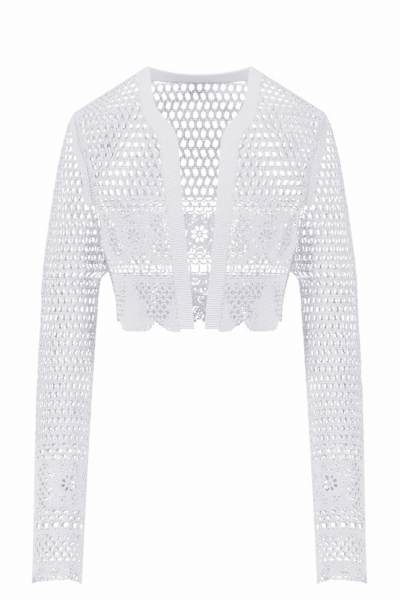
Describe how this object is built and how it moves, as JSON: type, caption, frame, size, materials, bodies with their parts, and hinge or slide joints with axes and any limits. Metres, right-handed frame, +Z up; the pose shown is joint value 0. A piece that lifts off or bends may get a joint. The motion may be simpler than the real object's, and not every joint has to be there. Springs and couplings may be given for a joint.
{
  "type": "crochet cropped cardigan",
  "caption": "Open-front cropped cardigan in white cotton crochet net, with flower bands, scalloped hem, long sleeves and a fine rib band.",
  "frame": {"origin": "between the shoulders at the height of the neck, where the wearer's shoulders hold the cardigan", "axes": "+Z up, -Y the wearer's front, +X the wearer's left"},
  "size_m": [0.4504, 0.2071, 0.6961],
  "materials": {
    "cotton_lace": "matt crocheted white cotton",
    "cotton_rib": "matt fine-ribbed white cotton"
  },
  "bodies": {
    "root": {"back_middle": "cotton_lace", "back_left": "cotton_lace", "back_right": "cotton_lace", "front_left": "cotton_lace", "front_right": "cotton_lace", "sleeve_left_front": "cotton_lace", "sleeve_left_back": "cotton_lace", "sleeve_right_front": "cotton_lace", "sleeve_right_back": "cotton_lace", "neck_band": "cotton_rib"}
  },
  "joints": []
}
